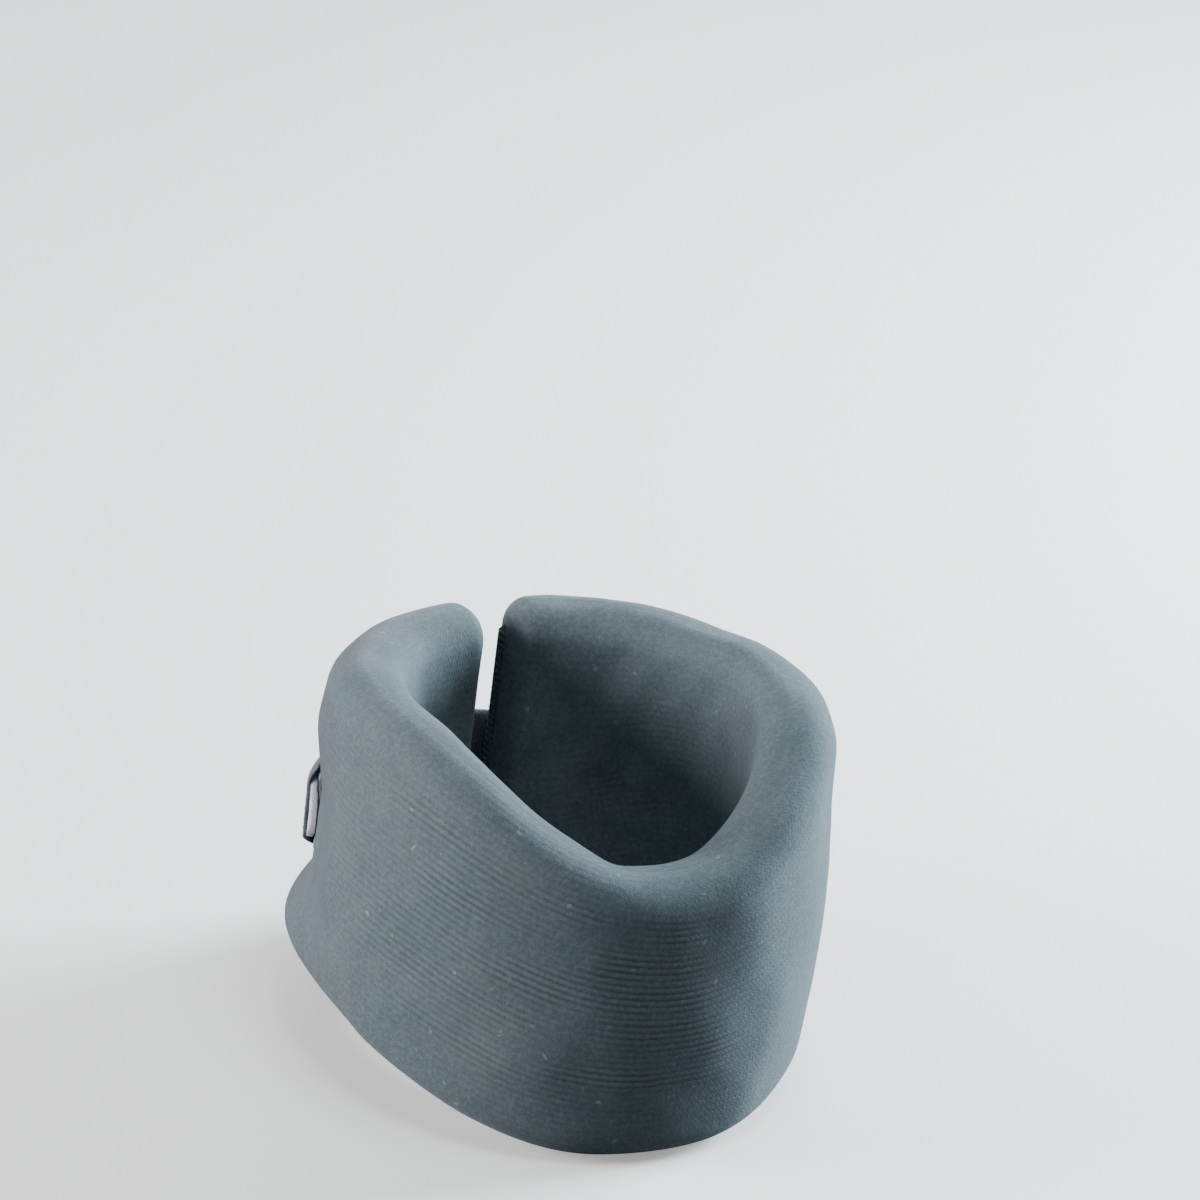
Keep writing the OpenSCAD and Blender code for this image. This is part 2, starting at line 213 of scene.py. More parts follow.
def press_profile():
    """The pressed strip's profile across the strap, with its corners rounded off."""
    at = [-PRESS_FADE, -PRESS_EDGE, -PRESS_SLOPE, -PRESS_FLAT, PRESS_FLAT, PRESS_SLOPE, PRESS_EDGE]
    by = [0, SWELL] + [-SQUEEZE * share for share in PRESS_SHARE] + [0]
    v = np.arange(-60, 60.5, 0.5)
    bell = np.exp(-((np.arange(-8, 8.5, 0.5) / 3) ** 2))
    return v, np.convolve(np.interp(v, at, by), bell / bell.sum(), "same")


PRESS_V, PRESS_N = press_profile()


def press(b, z):
    """How far the strap presses the pad in, and how far the pad swells below it."""
    return pressed(b) * np.interp((z - row_z(b)) / row_scale(b), PRESS_V, PRESS_N)


def lean_n(z):
    return -LEAN * (z - BACK_H / 2)


def outer_n(b, z):
    return CROWN * bulge(b, z) + press(b, z) + lean_n(z)


def inner_n(b, z):
    return -INNER_CROWN * bulge(b, z) + lean_n(z)


def on_pad(b, d, offset):
    """Point over the outer face, d above the strap's middle line and offset from the pad."""
    z = strap_z(b) + d
    return place(b, outer_n(b, z) + offset, z)


def heading(b):
    """Angle of the tangent at a bearing, in radians."""
    a = np.radians(b)
    return np.arctan2(OUTER_HALF_D * np.sin(a), OUTER_HALF_W * np.cos(a))


def place(b, n, z):
    """Point at a bearing, n outwards from the outer ellipse, at height z."""
    a, h = np.radians(b), heading(b)
    x = OUTER_HALF_W * np.sin(a) + n * np.sin(h)
    y = -OUTER_HALF_D * np.cos(a) - n * np.cos(h)
    return np.stack(np.broadcast_arrays(x, y, z), axis=-1)


def tangent(b):
    h = heading(b)
    return np.stack([np.cos(h), np.sin(h), np.zeros_like(h)], axis=-1)


def outward(b):
    h = heading(b)
    return np.stack([np.sin(h), -np.cos(h), np.zeros_like(h)], axis=-1)


# ---- Seeded smooth noise, as a sum of waves in random directions ----


class Waves:
    """Smooth random field over points in millimetres, about -1 to 1, with features of a size."""

    def __init__(self, size, seed, count=18):
        rng = np.random.default_rng(seed)
        way = rng.normal(size=(count, 3))
        way /= np.linalg.norm(way, axis=1)[:, None]
        self.k = way * (math.pi / size) * rng.uniform(0.6, 1.5, count)[:, None]
        self.phase = rng.uniform(0, 2 * math.pi, count)
        self.scale = math.sqrt(2.0 / count) * 0.7

    def __call__(self, points):
        flat = points.reshape(-1, 3)
        total = np.sin(flat @ self.k.T + self.phase).sum(axis=1) * self.scale
        return total.reshape(points.shape[:-1])


# Slow to quick unevenness of the padded fabric, and its heights
SAG, SAG_H = Waves(38, 11), 0.45
DIMPLE, DIMPLE_H = Waves(15, 12), 0.22
RIPPLE, RIPPLE_H = Waves(7, 13), 0.06
# How the ribs wander, and how clearly they show
DRIFT, DRIFT_H = Waves(24, 14), 0.24
TENSION = Waves(12, 15)
STREAK = Waves(5, 16, 30)

# ---- The pad's section: a closed outline, walked up the outer face and down the inner ----

ARC_STEPS = 24
FACE_STEPS = 120


def outline(b, inset):
    """Outline at one bearing as (n, z) points, from the middle of the outer face upwards."""
    z0, z1, zm = bottom_z(b), top_z(b), middle_z(b)
    rb, rt = BOTTOM_R - inset, TOP_R - inset
    out, back = -inset, inset - PAD_T
    q = np.radians(np.linspace(0, 90, ARC_STEPS, endpoint=False))

    def arc(n, z, r, first):
        a = q + math.radians(first)
        return np.stack([n + r * np.cos(a), z + r * np.sin(a)], axis=1)

    def face(n, za, zb, steps):
        z = np.linspace(za, zb, steps, endpoint=False)
        return np.stack([np.full(steps, n), z], axis=1)

    low, high = z0 + BOTTOM_R, z1 - TOP_R
    half = FACE_STEPS // 2
    outer = [face(out, zm, high, half), arc(out - rt, high, rt, 0)]
    inner = [
        arc(back + rt, high, rt, 90), face(back, high, low, FACE_STEPS),
        arc(back + rb, low, rb, 180),
    ]
    foot = [arc(out - rb, low, rb, 270), face(out, low, zm, half)]
    outer, inner, foot = (np.concatenate(part) for part in (outer, inner, foot))
    outer[:, 0] += outer_n(b, outer[:, 1])
    inner[:, 0] += inner_n(b, inner[:, 1])
    foot[:, 0] += outer_n(b, foot[:, 1])
    return np.concatenate([outer, inner, foot])


def arc_positions(points, rows, shift):
    """Indices along a closed outline that divide its length evenly into rows."""
    closed = np.vstack([points, points[:1]])
    steps = np.linalg.norm(np.diff(closed, axis=0), axis=1)
    length = np.concatenate([[0], np.cumsum(steps)])
    want = (np.arange(rows) / rows * length[-1] + shift) % length[-1]
    return np.interp(want, length, np.arange(len(length)))


def sample(points, index):
    closed = np.vstack([points, points[:1]])
    grid = np.arange(len(closed))
    return np.stack([np.interp(index, grid, closed[:, k]) for k in (0, 1)], axis=1)


# Share of the middle line's rise that the ribs don't follow
RIB_SLIP = 0.15


def bearings_between(b0, b1, spacing):
    """Even bearings about a spacing in millimetres apart."""
    count = max(2, int(round(abs(b1 - b0) * FACE_MM / spacing)))
    return np.linspace(b0, b1, count + 1)


def stations_between(b0, b1, spacing):
    """Stations, each a bearing and how much smaller the section is there."""
    return [(b, 0.0) for b in bearings_between(b0, b1, spacing)]


def end_stations(first, side, spacing, steps, inset=0.0):
    """Stations from a bearing to one end of the pad, rounded over the end's radius."""
    last = END_BEARING - END_R / MM_PER_DEG
    run_in = [(side * b, 0.0) for b in bearings_between(abs(first), last, spacing)]
    r = END_R - inset
    for i in range(1, steps + 1):
        q = math.radians(90 * i / steps)
        b = END_BEARING - (inset + r * (1 - math.sin(q))) / MM_PER_DEG
        run_in.append((side * b, r * (1 - math.cos(q))))
    return run_in


def length_stations(b0, b1, side, spacing, steps, inset=0.0):
    """Stations of one length of the pad; side, if given, is the end that it runs to."""
    if side:
        return end_stations(b0, side, spacing, steps, inset)
    return stations_between(b0, b1, spacing)


def rings(stations, rows, inset):
    """Grid of points (station, row, xyz), and the outward direction at each."""
    points, normals = [], []
    for b, extra in stations:
        shift = RIB_SLIP * (middle_z(0.0) - middle_z(b))
        index = arc_positions(outline(b, 0.0), rows, shift)
        ring = sample(outline(b, inset + extra), index)
        along = np.roll(ring, -1, axis=0) - np.roll(ring, 1, axis=0)
        along /= np.maximum(np.linalg.norm(along, axis=1), 1e-9)[:, None]
        points.append(place(b, ring[:, 0], ring[:, 1]))
        out = along[:, 1:] * outward(b)
        out[:, 2] = -along[:, 0]
        normals.append(out)
    return np.array(points), np.array(normals)


# ---- Soft shape: how the worn pad differs from its clean section ----


class Dent:
    """A soft hollow (or, with a negative depth, a bump) in the top rim, n from the outer face."""

    def __init__(self, bearing, n, size_along, size_across, depth):
        self.centre = place(bearing, n, float(top_z(bearing)))
        self.along = tangent(bearing)
        self.size_along, self.size_across, self.depth = size_along, size_across, depth

    def __call__(self, points):
        d = points - self.centre
        u = d @ self.along
        rest = np.linalg.norm(d - u[..., None] * self.along, axis=-1)
        return self.depth * np.exp(-((u / self.size_along) ** 2 + (rest / self.size_across) ** 2))


DENTS = [
    # Dip and fold at the wearer's right rear
    Dent(-128, -12, 14, 12, 0.8),
    Dent(-98, -9, 16, 11, -0.7),
    # Two small hollows where the chin rests
    Dent(-14, -15, 6, 6, 1.1),
    Dent(17, -14, 8, 7, 0.8),
    # The wearer's left
    Dent(118, -10, 12, 10, 1.3),
    Dent(64, -7, 14, 9, -0.6),
]

# Height over which the unevenness grows from the flat bottom edge
FOOT_MM = 14


def soften(points, normals, stations):
    """Moves points along their normals by the slow unevenness of padded fabric."""
    lift = SAG_H * SAG(points) + DIMPLE_H * DIMPLE(points) + RIPPLE_H * RIPPLE(points)
    lift = lift + cloth_lift(stations, points.shape[1])
    # It still stands on its flat bottom edge
    lift = lift * smooth(points[..., 2] / FOOT_MM)
    for dent in DENTS:
        lift = lift - dent(points)
    return points + normals * lift[..., None]


# The ribs come in over these heights from the top and the bottom edge, and fade over these
# degrees from the bearing where they are clearest and, on the outside, towards the left
RIB_FROM_TOP = (3, 20)
RIB_FROM_BOTTOM = (6, 32)
RIB_CLEAREST = -14
RIB_FADE = (32, 74)
RIB_FADE_LEFT = (6, 26)


def rib_show(points, normals, stations):
    """How clearly the ribs show at each point: most on the stretched front, least on the rims."""
    bearing = np.array([b for b, _ in stations])
    high, low = top_z(bearing)[:, None], bottom_z(bearing)[:, None]
    z = points[..., 2]
    rim = mix(0.3, 1, across_span(high - z, RIB_FROM_TOP))
    rim = rim * mix(0.12, 1, across_span(z - low, RIB_FROM_BOTTOM))
    rear = mix(1, 0.22, across_span(np.abs(bearing - RIB_CLEAREST), RIB_FADE))[:, None]
    out = (normals * outward(bearing)[:, None, :]).sum(axis=2)
    left = across_span(bearing, RIB_FADE_LEFT)[:, None] * smooth(out / 0.6)
    # Patches run along the ribs, because whole ribs stretch open or close together
    run_mm = np.broadcast_to((bearing * FACE_MM)[:, None], z.shape)
    along = np.stack([run_mm / 5, z - low, np.where(out < 0, 60.0, 0.0)], axis=-1)
    patch = 0.56 + 0.34 * STREAK(along) + 0.26 * TENSION(points)
    return np.clip(rim * rear * (1 - 0.65 * left) * patch, 0.05, 1.0)


def rib_relief(show):
    """Height of the ribs at each point, with the small unevenness of a worn knit."""
    rng = np.random.default_rng(21)
    per_rib = 1 + 0.22 * rng.standard_normal(RIBS)
    height = np.repeat(per_rib, ROWS_PER_RIB) * np.tile(RIB_PROFILE, RIBS)
    return RIB_HEIGHT * height[None, :] * show


def drift(points):
    """Ribs wander a little across the run of the knit."""
    across = np.roll(points, -1, axis=1) - np.roll(points, 1, axis=1)
    across /= np.maximum(np.linalg.norm(across, axis=2), 1e-9)[..., None]
    return points + across * (DRIFT_H * DRIFT(points))[..., None]


# ---- Meshes ----


def ring_faces(rows, first, second):
    """Quads between two rings of points, given the index each starts at."""
    i = np.arange(rows)
    k = (i + 1) % rows
    return np.stack([first + i, first + k, second + k, second + i], axis=1)


def wall_faces(rows, count, base=0):
    starts = base + np.arange(count) * rows
    return np.concatenate([ring_faces(rows, a, b) for a, b in zip(starts, starts[1:])])


def cap_faces(rows, base):
    """A ladder of quads across a closed ring, from the middle of the pad's bottom edge."""
    i = np.arange(rows // 2 - 1)
    up, down = 3 * rows // 4 + i, 3 * rows // 4 - 1 - i
    return base + np.stack([up, down, down - 1, up + 1], axis=1) % rows


def flip(faces):
    return faces[:, ::-1]


def capped_faces(rows, count):
    """Faces of a closed skin of rings, with a ladder of quads across each end."""
    last = cap_faces(rows, (count - 1) * rows)
    return np.concatenate([wall_faces(rows, count), cap_faces(rows, 0), flip(last)])


def end_rings(count, n):
    """Indices of the first and the last of count rings of n points."""
    return np.concatenate([np.arange(n), (count - 1) * n + np.arange(n)])


def ring_caps(count, n, base=0):
    """One face across the first and one across the last of count rings."""
    first = base + np.arange(n)
    return [first[::-1], first + (count - 1) * n]


def add_object(name, data):
    obj = bpy.data.objects.new(name, data)
    bpy.context.scene.collection.objects.link(obj)
    return obj


def assign(target, **values):
    for key, value in values.items():
        setattr(target, key, value)
    return target


def make_mesh(name, points, faces, uv=None, sharp=None):
    """Mesh object in metres. uv has a (u, v) per corner; edges between sharp points are crisp."""
    sizes = [len(face) for face in faces]
    flat = np.concatenate(faces)
    mesh = bpy.data.meshes.new(name)
    mesh.vertices.add(len(points))
    mesh.vertices.foreach_set("co", (np.asarray(points) * MM).astype(np.float32).ravel())
    mesh.loops.add(len(flat))
    mesh.polygons.add(len(faces))
    mesh.loops.foreach_set("vertex_index", flat.astype(np.int32))
    mesh.polygons.foreach_set("loop_start", (np.cumsum(sizes) - sizes).astype(np.int32))
    mesh.update(calc_edges=True)
    mesh.validate()
    mesh.polygons.foreach_set("use_smooth", np.ones(len(mesh.polygons), bool))
    if uv is not None:
        layer = mesh.uv_layers.new(name="knit")
        layer.data.foreach_set("uv", np.asarray(uv, np.float32).ravel())
    if sharp is not None:
        mark_sharp(mesh, sharp)
    turn_outwards(mesh)
    return add_object(name, mesh)


def turn_outwards(mesh):
    shape = bmesh.new()
    shape.from_mesh(mesh)
    if shape.calc_volume(signed=True) < 0:
        mesh.flip_normals()
    shape.free()


def mark_sharp(mesh, vertices):
    """Marks every edge whose two ends are both in one set of vertices."""
    inside = np.zeros(len(mesh.vertices), bool)
    inside[vertices] = True
    ends = np.zeros(len(mesh.edges) * 2, np.int32)
    mesh.edges.foreach_get("vertices", ends)
    ends = ends.reshape(-1, 2)
    mesh.edges.foreach_set("use_edge_sharp", inside[ends[:, 0]] & inside[ends[:, 1]])


# ---- The cover as cloth, pressed outwards by the foam ----

SIM_ROWS = 90
SIM_MM = 4.0
SIM_FRAMES = 20
SIM_SMOOTHING = 2
SIM_SETTINGS = {
    "quality": 5, "mass": 0.15, "tension_stiffness": 8, "compression_stiffness": 8,
    "shear_stiffness": 4, "bending_stiffness": 1.1, "shrink_min": -0.006,
    "use_pressure": True, "uniform_pressure_force": 6,
    "vertex_group_mass": "hold", "pin_stiffness": 0.6,
}
# The least hold on the cloth, and the most that the run may move it
SIM_HOLD = 0.13
SIM_CAP = 1.5
# Distance past the strap, and from the pad's ends, over which the hold changes
HOLD_PAST_STRAP = 8
HOLD_NEAR_END = (-9, -3)


def whole_run(spacing, end_steps):
    """Stations over the whole pad, from its right end to its left."""
    right = end_stations(-SPLIT_SIDE, -1, spacing, end_steps)
    front = stations_between(-SPLIT_SIDE, SPLIT_SIDE, spacing)
    left = end_stations(SPLIT_SIDE, 1, spacing, end_steps)
    return right[::-1] + front[1:-1] + left


def hold_weights(points, stations):
    """How firmly the cloth is held: at its sewn ends and where the strap binds it."""
    hold = np.full(points.shape[:2], SIM_HOLD)
    for j, (b, _) in enumerate(stations):
        z = points[j, :, 2]
        outer = (points[j] - place(b, 0.0, z)) @ outward(b) > -PAD_T / 2
        v = np.abs(z - float(row_z(b))) / float(row_scale(b))
        bound = pressed(b) * (1 - smooth((v - STRAP_W / 2) / HOLD_PAST_STRAP)) * outer
        hold[j] = np.maximum(hold[j], bound)
        hold[j] = np.maximum(hold[j], across_span(abs(b) - END_BEARING, HOLD_NEAR_END))
    return hold


def simulate_cover():
    """Cloth run on a coarse copy of the cover: bearings, and how far each row moved outwards."""
    stations = whole_run(SIM_MM, 3)
    points, normals = rings(stations, SIM_ROWS, 0.0)
    count = len(points)
    cloth_obj = make_mesh("cover_cloth", points.reshape(-1, 3), capped_faces(SIM_ROWS, count))
    group = cloth_obj.vertex_groups.new(name="hold")
    for i, w in enumerate(hold_weights(points, stations).ravel()):
        group.add([i], float(w), "REPLACE")
    cloth = cloth_obj.modifiers.new("cloth", "CLOTH")
    cloth.settings.effector_weights.gravity = 0
    assign(cloth.settings, **SIM_SETTINGS)
    cloth.point_cache.frame_start, cloth.point_cache.frame_end = 1, SIM_FRAMES
    scene = bpy.context.scene
    for step in range(1, SIM_FRAMES + 1):
        scene.frame_set(step)
    shaped = cloth_obj.evaluated_get(bpy.context.evaluated_depsgraph_get()).data
    moved = np.zeros(len(shaped.vertices) * 3, np.float32)
    shaped.vertices.foreach_get("co", moved)
    scene.frame_set(1)
    mesh = cloth_obj.data
    bpy.data.objects.remove(cloth_obj)
    bpy.data.meshes.remove(mesh)
    out = ((moved.reshape(points.shape) / MM - points) * normals).sum(axis=2)
    out = even_out(out, SIM_SMOOTHING)
    out = SIM_CAP * np.tanh((out - out.mean()) / SIM_CAP)
    return np.array([b for b, _ in stations]), out


def even_out(grid, times):
    """Smooths a (station, row) grid, which closes round its rows."""
    for _ in range(times):
        grid = (np.roll(grid, 1, axis=1) + 2 * grid + np.roll(grid, -1, axis=1)) / 4
        padded = np.pad(grid, ((1, 1), (0, 0)), mode="edge")
        grid = (padded[:-2] + 2 * padded[1:-1] + padded[2:]) / 4
    return grid


def cloth_lift(stations, rows):
    """How far the cloth run lifts each point of a grid."""
    if CLOTH is None:
        return 0.0
    bearings, grid = CLOTH
    at = np.interp([b for b, _ in stations], bearings, np.arange(len(bearings)))
    j = np.minimum(at.astype(int), len(bearings) - 2)
    t = (at - j)[:, None]
    along = grid[j] * (1 - t) + grid[j + 1] * t
    closed = np.concatenate([along, along[:, :1]], axis=1)
    want = np.arange(rows) * (SIM_ROWS / rows)
    k = want.astype(int)
    return closed[:, k] * (1 - (want - k)) + closed[:, k + 1] * (want - k)


CLOTH = simulate_cover()

# The sewn end: how far the last rings close up, and how far they stand out
SEAM_CLOSE = [(0.80, 0.25), (0.55, 0.45), (0.30, 0.50), (0.10, 0.50), (0.07, 1.3), (0.07, 2.2)]


def close_end(points, b, side):
    """Rings that gather the end of the cover into a standing seam."""
    last = points[-1]
    out, along = outward(b), tangent(b) * side
    n = (last - place(b, -PAD_T / 2, 0.0)) @ out
    mid = (last[:, 2].max() + last[:, 2].min()) / 2
    made = []
    for width, stand in SEAM_CLOSE:
        ring = last + out * (n * (width - 1))[:, None] + along * stand
        ring[:, 2] = mid + (last[:, 2] - mid) * (1 - 0.02 * stand)
        made.append(ring)
    return np.concatenate([points, made])


def cover_piece(name, b0, b1, side):
    """One length of the knitted cover, with its thickness; side closes the end it names."""
    outer_st = length_stations(b0, b1, side, STATION_MM, 8)
    inner_st = length_stations(b0, b1, side, STATION_MM * 5, 4, COVER_T)
    points, normals = rings(outer_st, ROWS, 0.0)
    soft = drift(soften(points, normals, outer_st))
    show = rib_show(points, normals, outer_st)
    soft = soft + normals * rib_relief(show)[..., None]
    if side:
        soft = close_end(soft, outer_st[-1][0], side)
        show = np.concatenate([show, np.repeat(show[-1:], len(SEAM_CLOSE), axis=0)])
    lining, lining_n = rings(inner_st, ROWS, COVER_T)
    lining = soften(lining, lining_n, inner_st)
    count, inner_count = len(soft), len(lining)
    base = count * ROWS
    last = base + (inner_count - 1) * ROWS
    outer_last = (count - 1) * ROWS
    if side:
        ends = [flip(cap_faces(ROWS, outer_last)), cap_faces(ROWS, last)]
    else:
        ends = [ring_faces(ROWS, outer_last, last)]
    faces = np.concatenate([
        wall_faces(ROWS, count), flip(wall_faces(ROWS, inner_count, base)),
        ring_faces(ROWS, base, 0), *ends,
    ])
    all_points = np.concatenate([soft.reshape(-1, 3), lining.reshape(-1, 3)])
    uv = knit_uv(faces, all_points)
    # The rims of the open mouths, outside and inside
    mouths = [0, base] if side else [0, base, outer_last, last]
    edge = np.concatenate([start + np.arange(ROWS) for start in mouths])
    piece = make_mesh(name, all_points, faces, uv, edge)
    clear = piece.data.attributes.new("rib_show", "FLOAT", "POINT")
    clear.data.foreach_set("value", np.concatenate([show.ravel(), np.zeros(inner_count * ROWS)]))
    return piece


def knit_uv(faces, points):
    """u is millimetres along the run and v counts ribs, both continuous from piece to piece."""
    u = np.degrees(np.arctan2(points[:, 0], -points[:, 1])) * FACE_MM
    row = faces % ROWS
    # Faces that close the ring count on past the last row
    closing = np.ptp(row, axis=1)[:, None] > ROWS / 2
    row = np.where(closing & (row < ROWS / 2), row + ROWS, row)
    return np.stack([u[faces], row / ROWS_PER_RIB], axis=-1).reshape(-1, 2)


FOAM_ROWS = 96
FOAM_STATION_MM = 5.0


def foam_piece(name, b0, b1, side):
    """One length of the foam pad, inside the cover."""
    stations = length_stations(b0, b1, side, FOAM_STATION_MM, 4, FOAM_INSET)
    points, normals = rings(stations, FOAM_ROWS, FOAM_INSET)
    soft = soften(points, normals, stations)
    count = len(soft)
    faces = capped_faces(FOAM_ROWS, count)
    return make_mesh(name, soft.reshape(-1, 3), faces, sharp=end_rings(count, FOAM_ROWS))


# ---- Flat pieces on the pad ----


def strap_ring(b, half_w, base, thick, rows, edge_r):
    """Ring round a strip's section, up one face and down the other, with soft edges."""
    across = np.linspace(-half_w + edge_r, half_w - edge_r, rows)
    d = np.concatenate([across, [half_w, half_w], across[::-1], [-half_w, -half_w]])
    up = np.concatenate([
        np.zeros(rows), [edge_r, thick - edge_r], np.full(rows, thick), [thick - edge_r, edge_r],
    ])
    return on_pad(b, d, base(b, d) + up)


def strap_bearings(b0, b1, spacing, tip=0.0):
    """Bearings along a strip, closer together over the radius of its rounded tip."""
    even = bearings_between(b0, b1, spacing)
    if not tip:
        return even
    q = np.radians(np.linspace(0, 90, 13)[1:])
    straight = np.linspace(b0, b1 - tip / FACE_MM, len(even))
    return np.concatenate([straight, b1 - tip * (1 - np.sin(q)) / FACE_MM])


def round_end(half_w, r, from_end):
    if from_end >= r:
        return half_w
    return half_w - r + math.sqrt(max(0.0, r * r - (r - from_end) ** 2))


def climb(b):
    return mix(LAY, BAND_N, smooth((b - LEAD_START) / (LOOP_START - LEAD_START)))


def tip_rise(b):
    return TIP_LIFT * smooth((b - TIP_START) / (TIP_BEARING - TIP_START))


def ring_loft(name, ring_list):
    """Closed solid through rings of equal length, with crisp edges round its ends."""
    ring_list = np.array(ring_list)
    count, n = ring_list.shape[:2]
    faces = list(wall_faces(n, count)) + ring_caps(count, n)
    return make_mesh(name, ring_list.reshape(-1, 3), faces, sharp=end_rings(count, n))


STRAP_ROWS = 25


def backing_offset(b, d):
    """Distance of the backing from the pad: over the hooks, drooping to the pad at its edges."""
    droop = smooth((np.abs(d) - HOOK_W / 2) / (DROOP_W + 1))
    return mix(climb(b), LAY, droop) + tip_rise(b)


def strap_piece(name, b0, b1, tip=0.0):
    made = []
    for b in strap_bearings(b0, b1, 1.5, tip):
        half = round_end(STRAP_W / 2, tip, (b1 - b) * FACE_MM)
        made.append(strap_ring(b, half, backing_offset, STRAP_T, STRAP_ROWS, 0.4))
    return ring_loft(name, made)


# The hook strip is mostly its moulded base, with short hooks
HOOK_BASE_T = 1.7
HOOK_END = TIP_BEARING + HOOK_PAST / FACE_MM
# Distance from the end over which the base thickens, and by how much
HOOK_PLAIN = (-1.6, -1.1)
HOOK_PLAIN_T = 0.35


def hook_offset(b, _d):
    """Distance of the base from the pad; the plain cut end is thicker and lies on the loops."""
    plain = across_span((b - HOOK_END) * FACE_MM, HOOK_PLAIN)
    return HOOK_N + (HOOK_T - HOOK_BASE_T) - HOOK_PLAIN_T * plain + tip_rise(b)


def hook_piece(name):
    """Base of the hook strip on the strap's inner face, with its rounded end."""
    made = []
    for b in strap_bearings(HOOK_START, HOOK_END, 1.5, HOOK_TIP_R):
        from_end = (HOOK_END - b) * FACE_MM
        half = round_end(HOOK_W / 2, HOOK_TIP_R, from_end)
        # The cut end is rounded over where it shows past the backing
        thick = HOOK_N + HOOK_T + tip_rise(b) - hook_offset(b, 0)
        thick += round_end(1, 1, from_end) - 1
        made.append(strap_ring(b, half, hook_offset, thick, STRAP_ROWS, 0.15))
    return ring_loft(name, made)


def loop_piece(name):
    """Loop strip: a base with brushed, uneven pile."""
    pile = Waves(1.1, 31, 30)
    tuft = Waves(3.0, 32)
    rows = 40
    bearings = strap_bearings(LOOP_START, LOOP_END, 0.8)
    made = np.array([
        strap_ring(b, LOOP_W / 2, lambda _b, _d: LAY, LOOP_T - 0.15, rows, 0.1) for b in bearings
    ])
    # The pile stands on the outer rows only
    raised = 0.1 * pile(made) + 0.07 * tuft(made)
    top = slice(rows + 2, rows + 2 + rows)
    out = outward(bearings)[:, None, :]
    # The hooks pull the pile up a little under the lifted tip
    drawn = 0.6 * tip_rise(bearings)
    made[:, top] += out * (0.12 + drawn[:, None, None] + raised[:, top, None])
    return ring_loft(name, made)


# ---- Thread ----

THREAD_R = 0.2
# The seams' stitch length, and the share of it that shows as thread
SEAM_STITCH = 3.0
SEAM_SHOWS = 0.74


def wire_ring(centre, r, up, side, corners):
    p = (2 * math.pi / corners * np.arange(corners))[:, None]
    return centre + r * (np.cos(p) * up + np.sin(p) * side)


def thread_arc(a, b, out, sink, rise):
    """One stitch: thread that rises from the cloth, lies on it and dives back in."""
    length = np.linalg.norm(b - a)
    way = (b - a) / length
    side = np.cross(out, way)
    made = []
    for t in np.linspace(0, 1, 7):
        ease = math.sin(math.pi * t) ** 0.5
        centre = a + way * length * t + out * (-sink + (rise + sink) * ease)
        up = out - way * (math.cos(math.pi * t) * 0.9)
        up /= np.linalg.norm(up)
        made.append(wire_ring(centre, THREAD_R * (0.8 + 0.2 * ease), up, side, 6))
    return np.array(made)


def thread_mesh(name, arcs):
    """Many stitches as one object."""
    points, faces, base = [], [], 0
    for ring_list in arcs:
        count, n = ring_list.shape[:2]
        faces += list(wall_faces(n, count, base)) + ring_caps(count, n, base)
        points.append(ring_list.reshape(-1, 3))
        base += count * n
    return make_mesh(name, np.concatenate(points), faces)


def seam_path(path, offset):
    """Stitches along a path of (bearing, height from the strap's middle) points."""
    path = np.array(path, float)
    steps = np.linalg.norm(np.diff(path * (FACE_MM, 1), axis=0), axis=1)
    length = np.concatenate([[0], np.cumsum(steps)])
    count = max(1, int(round(length[-1] / SEAM_STITCH)))
    arcs = []
    for i in range(count):
        at = (i + 0.5 + np.array([-SEAM_SHOWS, SEAM_SHOWS, 0]) / 2) / count * length[-1]
        b, d = (np.interp(at, length, path[:, k]) for k in (0, 1))
        ends = on_pad(b, d, offset(b, d))
        arcs.append(thread_arc(ends[0], ends[1], outward(b[2]), 0.25, 0.03))
    return arcs


# ---- Materials ----


